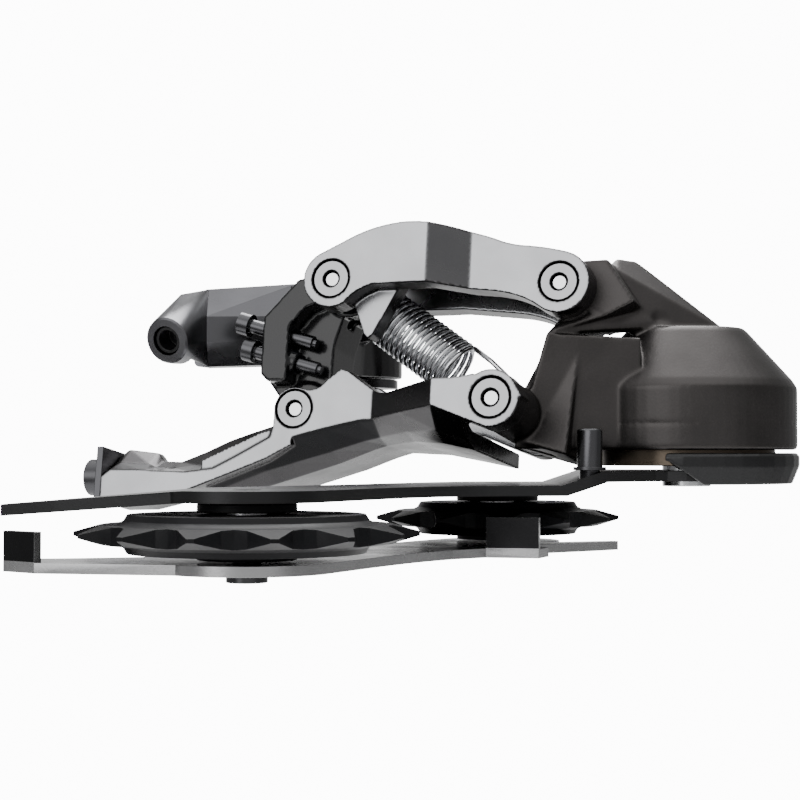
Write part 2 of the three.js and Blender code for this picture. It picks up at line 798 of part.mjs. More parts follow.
function pKnuckle() {
  const bell = turned(P_AT, [
    [0, P_BOTTOM],
    [P_R - 0.4, P_BOTTOM],
    [P_R, P_BOTTOM + 0.6],
    [P_R, -8.9],
    [P_R - 0.25, -8.7],
    [P_R, -8.5],
    [P_R, P_SHOULDER],
    [P_R - 1, P_SHOULDER + 1.6],
    [12.6, P_TOP - 0.8],
    [11.6, P_TOP],
    [0, P_TOP],
  ], BELL_SIDES);
  const near = -57;
  const low = P_BOTTOM + 0.2;
  const arm = hull([
    [41.4, near, 9.4],
    [39.3, near, -1],
    [36.4, near, -8.8],
    [34.8, near + 1, low],
    [60, near - 1.5, low],
    [60, near - 1.5, 8.4],
    [43.4, -32, 9.4],
    [39, -30, low],
    [62, -26, low],
    [62, -26, 8.4],
  ]);
  const shoulder = hull([
    [41.4, near, 9.4],
    [60, near - 1.5, 8.4],
    [54.8, -48.5, 20.2],
    [64, -50, 12],
    [49, -34, 17],
    [62, -30, 15],
    [45, -33, 9.4],
  ]);
  const beak = hull([
    [55.2, -47, 24],
    [56.8, -45, 25.6],
    [61.1, -42, 25.4],
    [79.4, -41, 11.4],
    [56.6, -48.5, 22.9],
    [77.8, -46.5, 11.4],
    [54.8, -48.5, 20.2],
    [62.4, -51, 10.6],
    [58, -34, 24],
    [79, -37, 11.4],
    [52, -34, 19],
    [64, -34, 8],
    [76, -41, 9],
    [60, -50, 9],
  ]);
  const pocket = hull(
    [
      [65.4, -51.6, 13.6, 2.7],
      [75.5, -49.6, 11.6, 1],
    ].flatMap(([x, y, z, radius]) => {
      const ball = new THREE.SphereGeometry(radius, 16, 10).translate(x, y, z).attributes.position;
      return Array.from({ length: ball.count }, (_, i) => [ball.getX(i), ball.getY(i), ball.getZ(i)]);
    }),
  );
  // The outline of a small rounded plug pressed in flush with the arm.
  const plugAt = (width, height, depth) =>
    new THREE.BoxGeometry(width, 2 * depth, height).translate(41.1, near, -7.7);
  const plugLine = cut(plugAt(3, 1.9, 0.5), plugAt(2.2, 1.1, 2));
  const upperBoss = cross(PIVOT.UP, 5.9, OUTER_NEAR_P + EAR + GAP, LINK_FAR - EAR - GAP, MEDIUM);
  const lowerBoss = cross(PIVOT.LP, 5.4, INNER_NEAR_P + EAR + GAP, LINK_FAR - EAR - GAP, MEDIUM);
  const upperNeck = polygon([
    [46, -7],
    [54, -8],
    [62, -4],
    [56, 5],
    [49, 4.6],
  ]);
  const lowerNeck = polygon([
    [39, -33],
    [50, -36],
    [52, -14],
    [46, -12],
    [41, -22],
  ]);
  const body = join(
    bell,
    arm,
    shoulder,
    beak,
    ...[
      upperBoss,
      lowerBoss,
      slab(upperNeck, OUTER_NEAR_P + EAR + GAP, LINK_FAR - EAR - GAP),
      slab(lowerNeck, 6.5, LINK_FAR - EAR - GAP),
    ].map(inRow),
  );
  const springSlot = slab(circle(...PIVOT.LP, 9), 15.2, 18.8);
  return cut(
    body,
    pocket,
    plugLine,
    ...swingRoom(PIVOT.UP, OUTER_NEAR_P, [7.7, 6.2], [94, 196]).map(inRow),
    ...swingRoom(PIVOT.LP, INNER_NEAR_P, [6.9, 5.7], [106, 250]).map(inRow),
    inRow(springSlot),
    inRow(cross(PIVOT.UP, PIN_R + GAP / 2, -20, 60, 16)),
    inRow(cross(PIVOT.LP, PIN_R + GAP / 2, -30, 60, 16)),
    rod(P_AT, 18.5, P_BOTTOM - 1, -4, LARGE),
    rod(P_AT, 13.5, -5, 4, LARGE),
    rod(P_AT, P_AXLE_R + 1.8, 3, 8.5, MEDIUM),
  );
}

function helix([x, y], radius, wireRadius, z0, z1, turns, perTurn = 10) {
  const points = [];
  for (let i = 0; i <= turns * perTurn; i++) {
    const angle = (2 * Math.PI * i) / perTurn;
    const z = z0 + ((z1 - z0) * i) / (turns * perTurn);
    points.push(new THREE.Vector3(x + radius * Math.cos(angle), y + radius * Math.sin(angle), z));
  }
  return wire(points, wireRadius, turns * perTurn, 6);
}

// ---------------------------------------------------------------- cage
function plateOutline() {
  const shape = new THREE.Shape();
  const [px, py] = P_AT;
  const [gx, gy] = GUIDE_AT;
  const [tx, ty] = TENSION_AT;
  shape.absarc(px, py, 20.5, -1.9, 1.75, false);
  shape.quadraticCurveTo(52, -20, gx + 6, gy + 11);
  shape.absarc(gx, gy, 12, 1.1, 2.6, false);
  shape.bezierCurveTo(10, -42, 0, -70, -22, -92);
  shape.bezierCurveTo(-34, -101, -44, -104, -56, -104.5);
  shape.lineTo(-57, -105.5);
  shape.lineTo(-57, -109);
  shape.bezierCurveTo(-46, -114, -34, -118, -26, -121);
  shape.absarc(tx, ty, 14.5, -2.6, -0.4, false);
  shape.bezierCurveTo(6, -104, 10, -96, 15, -88);
  shape.bezierCurveTo(22, -77, 34, -75, 46, -73.4);
  shape.bezierCurveTo(54, -73, 56, -64, 64.9, -61.4);
  return shape;
}

function cageOuterPlate() {
  const plan = prism(plateOutline(), -40, 0, 10);
  // Side view across the plate's length: level with the pulleys, then a step outboard.
  const top = OUTER_PLATE_Z;
  const side = polygon([
    [-80, top - OUTER_PLATE - 4.4],
    [-24, top - OUTER_PLATE],
    [44, top - OUTER_PLATE],
    [52, top + OUTER_PLATE_LIFT - OUTER_PLATE],
    [120, top + OUTER_PLATE_LIFT - OUTER_PLATE],
    [120, top + OUTER_PLATE_LIFT],
    [51, top + OUTER_PLATE_LIFT],
    [43, top],
    [-24, top],
    [-80, top - 4.4],
  ]);
  const band = prism(side, -160, 40).rotateX(Math.PI / 2).translate(0, -120, 0);
  return cut(
    common(plan, band),
    rod(GUIDE_AT, 2.6, -40, 0),
    rod(TENSION_AT, 2.6, -40, 0),
    rod(STOP_PIN_AT, 2.3, -40, 0),
    rod(P_AT, P_AXLE_R + GAP, -40, 0, MEDIUM),
  );
}

const STOP_PIN_AT = [48.8, -68.5];

function cageStopPin() {
  const top = OUTER_PLATE_Z + OUTER_PLATE_LIFT;
  return turned(
    STOP_PIN_AT,
    [
      [0, top - OUTER_PLATE],
      [2, top - OUTER_PLATE],
      [2, top + GAP],
      [3.2, top + GAP],
      [3.2, top + 0.9],
      [2.5, top + 0.9],
      [2.5, top + 8],
      [2.2, top + 8.3],
      [0, top + 8.3],
    ],
    SMALL,
  );
}

// A crescent round the front of the pivot that the outer plate is fixed to.
function cageMountBase() {
  const top = P_BOTTOM - 0.6;
  const plateTop = OUTER_PLATE_Z + OUTER_PLATE_LIFT;
  const bottom = plateTop - 2.7;
  const crescent = polygon([
    [60, -70],
    [100, -66],
    [100, -18],
    [84, -22],
    [78, -42],
  ]);
  const profile = [
    [0, bottom],
    [P_R - 1.1, bottom],
    [P_R + 0.4, top - 2.6],
    [P_R + 0.4, top - 0.7],
    [P_R - 0.2, top],
    [0, top],
  ];
  const slant = polygon([
    [50, top - 1.6],
    [64.8, top - 1.6],
    [72.4, bottom - 0.4],
    [50, bottom - 0.4],
  ]);
  return cut(
    common(turned(P_AT, profile), prism(crescent, -40, 0)),
    prism(slant, -1, 30).rotateX(Math.PI / 2).translate(0, -50, 0),
    rod(P_AT, 18.2 + GAP, -40, 0, LARGE),
    rod(P_AT, 20.5 + GAP, -40, plateTop + GAP, LARGE),
  );
}

function cageInnerPlate() {
  const [gx, gy] = GUIDE_AT;
  const [tx, ty] = TENSION_AT;
  const shape = new THREE.Shape();
  shape.absarc(gx, gy, 13, -0.9, 2.5, false);
  shape.bezierCurveTo(10, -44, 0, -72, -20, -93);
  shape.bezierCurveTo(-34, -100, -44, -103, -52, -104);
  shape.lineTo(-56, -106);
  shape.lineTo(-56, -111.5);
  shape.lineTo(-49.6, -117.4);
  shape.bezierCurveTo(-42, -119, -34, -121, -25, -123);
  shape.absarc(tx, ty, 15, -2.4, -0.4, false);
  shape.bezierCurveTo(8, -100, 14, -86, 22, -76);
  shape.lineTo(28.6, -69.8);
  shape.lineTo(38.6, -72.6);
  shape.lineTo(41, -66);
  shape.lineTo(37.5, -58);
  shape.bezierCurveTo(40, -54, 50, -48, 57.5, -40);
  shape.bezierCurveTo(58.5, -36, 52, -40, 45.5, -42.8);
  const plate = prism(shape, INNER_PLATE_Z - INNER_PLATE, INNER_PLATE_Z, 10);
  // The rear tab and the chain guard, both folded outboard.
  const tab = (x0, y0, x1, y1, height) => {
    const length = Math.hypot(x1 - x0, y1 - y0);
    const [nx, ny] = [(-1.5 * (y1 - y0)) / length, (1.5 * (x1 - x0)) / length];
    const foot = polygon([
      [x0, y0],
      [x1, y1],
      [x1 + nx, y1 + ny],
      [x0 + nx, y0 + ny],
    ]);
    return prism(foot, INNER_PLATE_Z - 0.5, INNER_PLATE_Z + height);
  };
  const rearTab = tab(-56, -111.5, -49.6, -117.4, 5.2);
  const guardTab = tab(28.6, -69.8, 38.6, -72.6, 6);
  return cut(
    join(plate, rearTab, guardTab),
    rod(GUIDE_AT, 2.6, -50, 0),
    rod(TENSION_AT, 2.6, -50, 0),
  );
}

// ---------------------------------------------------------------- pulleys
function pulleyOutline([cx, cy], teeth) {
  const pitchRadius = CHAIN_PITCH / (2 * Math.sin(Math.PI / teeth));
  const root = pitchRadius - 3.6;
  const tip = pitchRadius + 1;
  const shape = new THREE.Shape();
  for (let i = 0; i < teeth; i++) {
    const middle = (2 * Math.PI * i) / teeth;
    const step = (2 * Math.PI) / teeth;
    [
      [root, -0.5],
      [root + 0.5, -0.32],
      [root + 2.2, -0.2],
      [tip, -0.05],
      [tip, 0.05],
      [root + 2.2, 0.2],
      [root + 0.5, 0.32],
    ].forEach(([radius, share]) => {
      const angle = middle + share * step;
      const point = [cx + radius * Math.cos(angle), cy + radius * Math.sin(angle)];
      if (i === 0 && share === -0.5) shape.moveTo(...point);
      else shape.lineTo(...point);
    });
  }
  shape.closePath();
  return shape;
}

// A spool: a wide body that necks down to one row of pointed teeth.
function pulley(at, teeth, windows) {
  const pitchRadius = CHAIN_PITCH / (2 * Math.sin(Math.PI / teeth));
  const tip = pitchRadius + 1;
  const bevelled = turned(at, [
    [0, -1.6],
    [tip - 4.5, -1.6],
    [tip + 0.2, -0.3],
    [tip + 0.2, 0.3],
    [tip - 4.5, 1.6],
    [0, 1.6],
  ]).translate(0, 0, PULLEY_Z);
  const toothed = common(prism(pulleyOutline(at, teeth), PULLEY_Z - 2, PULLEY_Z + 2), bevelled);
  const wide = pitchRadius - 8.2;
  const half = 3.3;
  const body = turned(at, [
    [0, -half],
    [wide, -half],
    [wide + 0.6, 1 - half],
    [wide + 2, -1.6],
    [wide + 4.2, -1.2],
    [wide + 4.2, 1.2],
    [wide + 2, 1.6],
    [wide + 0.6, half - 1],
    [wide, half],
    [0, half],
  ]).translate(0, 0, PULLEY_Z);
  const middle = (9.4 + wide - 1.6) / 2;
  const holes = Array.from({ length: windows }, (_, i) => {
    const angle = (2 * Math.PI * i) / windows;
    const centre = [at[0] + middle * Math.cos(angle), at[1] + middle * Math.sin(angle)];
    return rod(centre, (wide - 11) / 2 - 0.5, -60, 0, 14);
  });
  return cut(join(toothed, body), rod(at, 7.4, -60, 0, MEDIUM), ...holes);
}

function pulleyBearing(at) {
  return ring(at, 3.9, 7.1, PULLEY_Z - 2.2, PULLEY_Z + 2.2);
}

function pulleySpacer(at) {
  const half = (OUTER_PLATE_Z - OUTER_PLATE - INNER_PLATE_Z) / 2;
  const middle = (OUTER_PLATE_Z - OUTER_PLATE + INNER_PLATE_Z) / 2;
  return ring(at, 2.8, 3.6, middle - half + GAP, middle + half - GAP, SMALL);
}

function sideSeal(at, side) {
  const near = PULLEY_Z + side * 3.6;
  const far = side > 0 ? OUTER_PLATE_Z - OUTER_PLATE - GAP : INNER_PLATE_Z + GAP;
  return ring(at, 3.9, 8.6, Math.min(near, far), Math.max(near, far), MEDIUM);
}

function pulleyBolt(at) {
  const under = INNER_PLATE_Z - INNER_PLATE;
  const bolt = join(
    rod(at, 2.5, under - 0.5, OUTER_PLATE_Z - 0.2),
    rod(at, 3.6, under - 1.8, under - GAP, 24),
  );
  return cut(bolt, rod(at, 1.5, under - 3, under - 0.6, 6));
}

// The clutch's friction band wraps the one-way hub.
function clutchBand() {
  const band = ring(P_AT, 9.7, 11.2, -12, -5, MEDIUM);
  const gap = hull([
    [P_AT[0] + 5, P_AT[1] - 1, -20],
    [P_AT[0] + 15, P_AT[1] - 1, -20],
    [P_AT[0] + 5, P_AT[1] + 1, -20],
    [P_AT[0] + 15, P_AT[1] + 1, -20],
    [P_AT[0] + 5, P_AT[1] - 1, 0],
    [P_AT[0] + 15, P_AT[1] - 1, 0],
    [P_AT[0] + 5, P_AT[1] + 1, 0],
    [P_AT[0] + 15, P_AT[1] + 1, 0],
  ]);
  return cut(band, gap);
}

// ---------------------------------------------------------------- cable clamp
const CLAMP = { u: -53, v: INNER_NEAR_B + 5.5, w: -40.5 };

function alongArm(radius, length, from, sides) {
  const geometry = new THREE.CylinderGeometry(radius, radius, length, sides);
  return geometry.rotateZ(Math.PI / 2).translate(CLAMP.u - from - length / 2, CLAMP.v, CLAMP.w);
}

function clampWasher() {
  const plate = new THREE.BoxGeometry(1.6, 10, 11);
  plate.translate(CLAMP.u - 0.3, CLAMP.v, CLAMP.w + 0.6);
  return cut(plate, alongArm(2.4, 10, -5, 16));
}

function clampBolt() {
  const bolt = join(alongArm(2, 12, -10, 16), alongArm(4, 3.2, 1.4, 24));
  return cut(bolt, alongArm(1.6, 4, 3, 6));
}

// ---------------------------------------------------------------- assembly
const root = new THREE.Group();
root.name = "rear_derailleur";
const linkage = new THREE.Group();
linkage.name = "linkage";
linkage.applyMatrix4(LINKAGE);
root.add(linkage);

function add(group, name, look, geometry) {
  const mesh = new THREE.Mesh(geometry, new THREE.MeshStandardMaterial(LOOKS[look]));
  mesh.name = name;
  group.add(mesh);
  return mesh;
}

add(linkage, "outer_link", "link", outerLink());
add(linkage, "inner_link", "link", innerLink());
add(root, "b_knuckle", "gloss_black", bKnuckle());
add(linkage, "high_limit_screw", "dark_steel", limitScrew(HIGH_SCREW));
add(linkage, "low_limit_screw", "dark_steel", limitScrew(LOW_SCREW));

add(root, "b_tension_screw", "dark_steel", bTensionScrew());
add(root, "stop_washer", "dark_steel", stopWasher());
add(root, "hanger_bolt", "dark_steel", hangerBolt());
add(
  root,
  "hanger_bushing",
  "bronze",
  ring([0, 0], HANGER_BOLT_R + GAP, HANGER_BOLT_R + 2, STOP_WASHER + GAP, B_BARREL_TOP - 0.2),
);
add(root, "cable_stop", "gunmetal", cableStop());
add(root, "housing_ferrule", "satin_black", housingFerrule());

const PIVOTS = [
  ["outer_rear", PIVOT.UB, OUTER_NEAR_B],
  ["outer_front", PIVOT.UP, OUTER_NEAR_P],
  ["inner_rear", PIVOT.LB, INNER_NEAR_B],
  ["inner_front", PIVOT.LP, INNER_NEAR_P],
];
for (const [name, at, near] of PIVOTS) {
  add(linkage, `${name}_pivot_pin`, "steel", pivotPin(at, near));
  add(linkage, `${name}_near_bush`, "link", bush(at, near, 1));
  add(linkage, `${name}_far_bush`, "link", bush(at, LINK_FAR, -1));
}
add(linkage, "return_spring", "steel", returnSpring());

add(root, "p_knuckle", "housing", pKnuckle());
add(root, "cage_axle", "steel", turned(P_AT, [
  [0, -21.5],
  [P_AXLE_R, -21.5],
  [P_AXLE_R, 8],
  [0, 8],
], MEDIUM));
add(root, "cage_axle_bush", "bronze", ring(P_AT, P_AXLE_R + GAP, P_AXLE_R + 1.6, 3.2, 8.2));
add(root, "cage_spring", "steel", helix(P_AT, 11.4, 0.9, -2.4, 2.6, 3));
add(root, "clutch_roller_hub", "bearing", ring(P_AT, P_AXLE_R + GAP, 9.4, -12.5, -1.5));
add(root, "clutch_band_spring", "dark_steel", clutchBand());
add(root, "cage_dust_seal", "bronze", ring(
  P_AT, P_AXLE_R + GAP, 18.2, P_BOTTOM - 3.2, P_BOTTOM + 0.8, LARGE,
));
add(root, "cage_mount_base", "satin_black", cageMountBase());
add(root, "cage_outer_plate", "satin_black", cageOuterPlate());
add(root, "cage_inner_plate", "satin_black", cageInnerPlate());
add(root, "cage_stop_pin", "dark_steel", cageStopPin());
add(root, "guide_pulley", "pulley", pulley(GUIDE_AT, GUIDE_TEETH, 6));
add(root, "tension_pulley", "pulley", pulley(TENSION_AT, TENSION_TEETH, 7));
for (const [name, at] of [["guide", GUIDE_AT], ["tension", TENSION_AT]]) {
  add(root, `${name}_pulley_bearing`, "bearing", pulleyBearing(at));
  add(root, `${name}_pulley_spacer`, "steel", pulleySpacer(at));
  add(root, `${name}_outer_seal`, "pulley", sideSeal(at, 1));
  add(root, `${name}_inner_seal`, "pulley", sideSeal(at, -1));
  add(root, `${name}_pulley_bolt`, "dark_steel", pulleyBolt(at));
}

add(linkage, "cable_clamp_plate", "dark_steel", clampWasher());
add(linkage, "cable_clamp_bolt", "dark_steel", clampBolt());

export default root;
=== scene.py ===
import bpy
import bmesh
import json
import math
from mathutils import Matrix, Vector


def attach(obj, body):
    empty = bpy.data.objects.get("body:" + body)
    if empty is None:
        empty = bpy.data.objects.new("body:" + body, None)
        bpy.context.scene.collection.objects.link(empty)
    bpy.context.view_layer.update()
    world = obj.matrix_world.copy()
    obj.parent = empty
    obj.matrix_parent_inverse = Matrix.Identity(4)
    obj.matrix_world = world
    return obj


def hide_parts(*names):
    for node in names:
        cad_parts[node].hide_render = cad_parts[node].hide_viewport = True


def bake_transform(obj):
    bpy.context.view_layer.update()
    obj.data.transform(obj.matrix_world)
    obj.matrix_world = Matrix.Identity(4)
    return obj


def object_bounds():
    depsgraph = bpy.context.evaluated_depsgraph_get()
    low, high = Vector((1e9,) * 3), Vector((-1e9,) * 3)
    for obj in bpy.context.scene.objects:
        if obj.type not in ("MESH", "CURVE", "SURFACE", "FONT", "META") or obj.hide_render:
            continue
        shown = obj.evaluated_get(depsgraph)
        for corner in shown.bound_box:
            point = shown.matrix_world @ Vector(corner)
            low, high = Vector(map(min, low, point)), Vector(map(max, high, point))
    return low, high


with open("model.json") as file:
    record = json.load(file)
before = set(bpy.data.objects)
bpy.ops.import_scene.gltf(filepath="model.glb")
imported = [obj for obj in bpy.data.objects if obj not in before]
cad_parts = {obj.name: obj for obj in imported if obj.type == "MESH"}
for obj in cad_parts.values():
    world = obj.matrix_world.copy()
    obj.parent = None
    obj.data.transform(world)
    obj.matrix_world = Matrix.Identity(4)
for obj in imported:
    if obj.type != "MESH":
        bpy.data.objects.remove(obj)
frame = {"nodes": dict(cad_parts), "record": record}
CAD_SIZE = [list(map(float, corner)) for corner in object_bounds()]
MM = 0.001

# ------------------------------------------------------------------ linkage frame, as in the CAD
PIN_YAW = math.radians(19.6)
PIN_DROP = math.radians(9.1)
LINKAGE_AT = (-2.4, -44.0, 21.6)
LINK_U = Vector((math.cos(PIN_YAW), -math.sin(PIN_YAW), 0.0))
LINK_V = Vector((
    math.sin(PIN_YAW) * math.cos(PIN_DROP),
    math.cos(PIN_YAW) * math.cos(PIN_DROP),
    -math.sin(PIN_DROP),
))
LINK_W = LINK_U.cross(LINK_V)
LINKAGE = Matrix((
    (LINK_U.x, LINK_V.x, LINK_W.x, LINKAGE_AT[0]),
    (LINK_U.y, LINK_V.y, LINK_W.y, LINKAGE_AT[1]),
    (LINK_U.z, LINK_V.z, LINK_W.z, LINKAGE_AT[2]),
    (0.0, 0.0, 0.0, 1.0),
))
BODIES = frame["record"]["behaviour"]["bodies"]
BODY_OF = {node: body for body, nodes in BODIES.items() for node in nodes}
SLOT_OF = {entry["node"]: entry["material_slot"] for entry in frame["record"]["subparts"]}


# ------------------------------------------------------------------ materials
CLOUD_SCALE = 95.0
CLOUD_LOW, CLOUD_HIGH = 0.3, 0.7  # the middle of the noise, where nearly all of it lies
LEAST_ROUGHNESS = 0.02
COAT_ROUGHNESS = 0.12
GRAIN_HEIGHT = 0.0003


def finish(name, colour, rough, metallic, *, coat=0.0, grain=900.0, bump=0.04, vary=0.12,
           stain=0.08, specular=0.5, faces=()):
    """A surface with fine grain in its bump, cloudy roughness and a slight drift of colour.

    Each of faces is (direction, colour, lowest height, highest height): faces that look that way
    between those heights at rest take that colour. It paints highlights and shade by the way a face
    looks, and also gives a piece its own second colour.
    """
    mat = bpy.data.materials.new(name)
    mat.use_nodes = True
    nodes = mat.node_tree.nodes
    links = mat.node_tree.links
    shader = nodes["Principled BSDF"]
    shader.inputs["Metallic"].default_value = metallic
    shader.inputs["Coat Weight"].default_value = coat
    shader.inputs["Coat Roughness"].default_value = COAT_ROUGHNESS
    shader.inputs["Specular IOR Level"].default_value = specular
    coords = nodes.new("ShaderNodeTexCoord")

    def noise(scale, detail):
        texture = nodes.new("ShaderNodeTexNoise")
        texture.inputs["Scale"].default_value = scale
        texture.inputs["Detail"].default_value = detail
        links.new(coords.outputs["Object"], texture.inputs["Vector"])
        return texture.outputs["Fac"]

    cloud = noise(CLOUD_SCALE, 4.0)
    fine = noise(grain, 3.0)
    spread = nodes.new("ShaderNodeMapRange")
    spread.inputs["From Min"].default_value = CLOUD_LOW
    spread.inputs["From Max"].default_value = CLOUD_HIGH
    spread.inputs["To Min"].default_value = max(LEAST_ROUGHNESS, rough - vary / 2)
    spread.inputs["To Max"].default_value = rough + vary / 2
    links.new(cloud, spread.inputs["Value"])
    links.new(spread.outputs["Result"], shader.inputs["Roughness"])

    ramp = nodes.new("ShaderNodeValToRGB")
    ramp.color_ramp.elements[0].position = CLOUD_LOW
    ramp.color_ramp.elements[1].position = CLOUD_HIGH
    ramp.color_ramp.elements[0].color = (*[c * (1 - stain) for c in colour], 1)
    ramp.color_ramp.elements[1].color = (*[min(1, c * (1 + stain)) for c in colour], 1)
    links.new(cloud, ramp.inputs["Fac"])
    colour_out = ramp.outputs["Color"]
    # Faces that look one way get another colour: painted highlights and painted shade on the links, and
    # the inner plate's own black on its flat faces.
    for direction, tint, lowest, highest in faces:
        toward = nodes.new("ShaderNodeVectorMath")
        toward.operation = "DOT_PRODUCT"
        toward.inputs[1].default_value = direction
        links.new(coords.outputs["Normal"], toward.inputs[0])
        side = nodes.new("ShaderNodeMapRange")
        side.inputs["From Min"].default_value = FACE_FROM
        side.inputs["From Max"].default_value = FACE_TO
        links.new(toward.outputs["Value"], side.inputs["Value"])
        place = nodes.new("ShaderNodeSeparateXYZ")
        links.new(coords.outputs["Object"], place.inputs["Vector"])
        inside = nodes.new("ShaderNodeMath")
        inside.operation = "COMPARE"
        inside.inputs[1].default_value = (lowest + highest) / 2
        inside.inputs[2].default_value = (highest - lowest) / 2
        links.new(place.outputs["Z"], inside.inputs[0])
        both = nodes.new("ShaderNodeMath")
        both.operation = "MULTIPLY"
        links.new(side.outputs["Result"], both.inputs[0])
        links.new(inside.outputs["Value"], both.inputs[1])
        cut = nodes.new("ShaderNodeMixRGB")
        cut.inputs["Color2"].default_value = (*tint, 1)
        links.new(both.outputs["Value"], cut.inputs["Fac"])
        links.new(colour_out, cut.inputs["Color1"])
        colour_out = cut.outputs["Color"]
    links.new(colour_out, shader.inputs["Base Color"])

    height = nodes.new("ShaderNodeBump")
    height.inputs["Strength"].default_value = bump
    height.inputs["Distance"].default_value = GRAIN_HEIGHT
    links.new(fine, height.inputs["Height"])
    links.new(height.outputs["Normal"], shader.inputs["Normal"])
    return mat


FACE_FROM, FACE_TO = 0.88, 0.96
ALL_HEIGHTS = (-1.0, 1.0)
INNER_PLATE_TOP = -0.0329
GUARD_TAB_NEAR = (-0.27, -0.96, 0.0)  # which way the tabs of the inner plate face
REAR_TAB_NEAR = (-0.68, -0.74, 0.0)
# Near black: the inner plate's own black paint, and painted shade on the undersides of the links.
BLACK_AND_PAINTED_SHADE = (0.018, 0.018, 0.019)
# Light grey along the inner plate's edges: a painted highlight.
EDGE_HIGHLIGHT_GREY = (0.46, 0.46, 0.465)
LOOKS = {
    # Links: the lighter near faces are partly a machined finish and partly painted light; the lighter
    # tops are a painted highlight; the undersides are painted shade.
    "link": finish("link_anodised_painted_light", (0.055, 0.053, 0.055), 0.28, 1.0, grain=1500, bump=0.03, faces=[
        (tuple(-LINK_V), (0.37, 0.373, 0.385), *ALL_HEIGHTS),
        (tuple(LINK_W), (0.30, 0.30, 0.31), *ALL_HEIGHTS),
        (tuple(-LINK_W), BLACK_AND_PAINTED_SHADE, *ALL_HEIGHTS),
        (tuple(-(LINK_V + LINK_W).normalized()), BLACK_AND_PAINTED_SHADE, *ALL_HEIGHTS),
    ]),
    "gunmetal": finish("gunmetal_anodised", (0.13, 0.13, 0.138), 0.30, 1.0, grain=1200),
    "gloss_black": finish("gloss_black", (0.005, 0.005, 0.006), 0.18, 0.0, coat=0.2, bump=0.02,
                          specular=0.35),
    "housing": finish("housing_satin", (0.060, 0.056, 0.055), 0.40, 0.95, grain=1800, bump=0.06),
    "satin_black": finish("satin_black", (0.022, 0.022, 0.023), 0.34, 0.6, grain=1600, bump=0.05),
    "pulley": finish("pulley_black", (0.006, 0.006, 0.007), 0.45, 0.0, grain=1400, bump=0.05,
                     specular=0.15),
    "steel": finish("bright_steel", (0.80, 0.81, 0.83), 0.20, 1.0, grain=2000, bump=0.02),
    "dark_steel": finish("dark_steel", (0.085, 0.085, 0.09), 0.26, 1.0, grain=1700),
    "bearing": finish("bearing_steel", (0.40, 0.41, 0.43), 0.25, 1.0, grain=1700),
    # Inner plate: its own black on the flat faces and tabs, with a painted highlight in light grey
    # along its edges.
    "black_painted_edge_highlight": finish("black_with_painted_edge_highlight", EDGE_HIGHLIGHT_GREY, 0.24, 0.9, grain=1600, faces=[
        ((0, 0, 1), BLACK_AND_PAINTED_SHADE, *ALL_HEIGHTS),
        ((0, 0, -1), BLACK_AND_PAINTED_SHADE, *ALL_HEIGHTS),
        (GUARD_TAB_NEAR, BLACK_AND_PAINTED_SHADE, INNER_PLATE_TOP, 1.0),
        (REAR_TAB_NEAR, BLACK_AND_PAINTED_SHADE, INNER_PLATE_TOP, 1.0),
    ]),
    "bronze": finish("bronze_collar", (0.13, 0.105, 0.08), 0.38, 0.9, grain=1500),
}
LOOK_OF = {"cage_inner_plate": "black_painted_edge_highlight"}


# ------------------------------------------------------------------ helpers
SHARP_ANGLE = 28.0  # degrees between two faces that makes their edge a hard one
FLAT_ANGLE = 1.5  # degrees below which two faces count as one flat run
WELD = 0.00001


def keep(piece, *nodes_replaced, rides=True):
    """The piece takes its body, slot and finish from the CAD node it stands for."""
    node = nodes_replaced[0]
    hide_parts(*nodes_replaced)
    if rides:
        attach(piece, BODY_OF[node])
    piece.data.materials.clear()
    piece.data.materials.append(LOOKS[LOOK_OF.get(node, SLOT_OF[node])])
    return piece


def soften(piece, width):
    """Rounded edges with even shading."""
    bevel = piece.modifiers.new("rounded edges", "BEVEL")
    bevel.width = width * MM
    bevel.segments = 2
    bevel.limit_method = "ANGLE"
    bevel.angle_limit = math.radians(SHARP_ANGLE)
    bevel.use_clamp_overlap = True
    bevel.harden_normals = True
    piece.data.shade_smooth()
    piece.data.set_sharp_from_angle(angle=math.radians(SHARP_ANGLE))


def refined(node, width):
    """The CAD node's own shape with its flat runs merged and its edges rounded."""
    source = frame["nodes"][node]
    mesh = bmesh.new()
    mesh.from_mesh(source.data)
    mesh.transform(source.matrix_world)
    bmesh.ops.remove_doubles(mesh, verts=mesh.verts, dist=WELD)
    bmesh.ops.dissolve_limit(
        mesh, angle_limit=math.radians(FLAT_ANGLE), verts=mesh.verts, edges=mesh.edges
    )
    data = bpy.data.meshes.new(node + "_visual")
    mesh.to_mesh(data)
    mesh.free()
    piece = bpy.data.objects.new(node + "_visual", data)
    bpy.context.scene.collection.objects.link(piece)
    keep(piece, node)
    soften(piece, width)


def cast(node, voxel, rounds):
    """The CAD node's own shape with its corners run out into small radii, as a forging has."""
    source = frame["nodes"][node]
    data = source.data.copy()
    data.transform(source.matrix_world)
    piece = bpy.data.objects.new(node + "_visual", data)
    bpy.context.scene.collection.objects.link(piece)
    keep(piece, node)
    skin = piece.modifiers.new("one skin", "REMESH")
    skin.mode = "VOXEL"
    skin.voxel_size = voxel * MM
    skin.use_smooth_shade = True
    ease = piece.modifiers.new("eased corners", "SMOOTH")
    ease.factor = 0.5
    ease.iterations = rounds


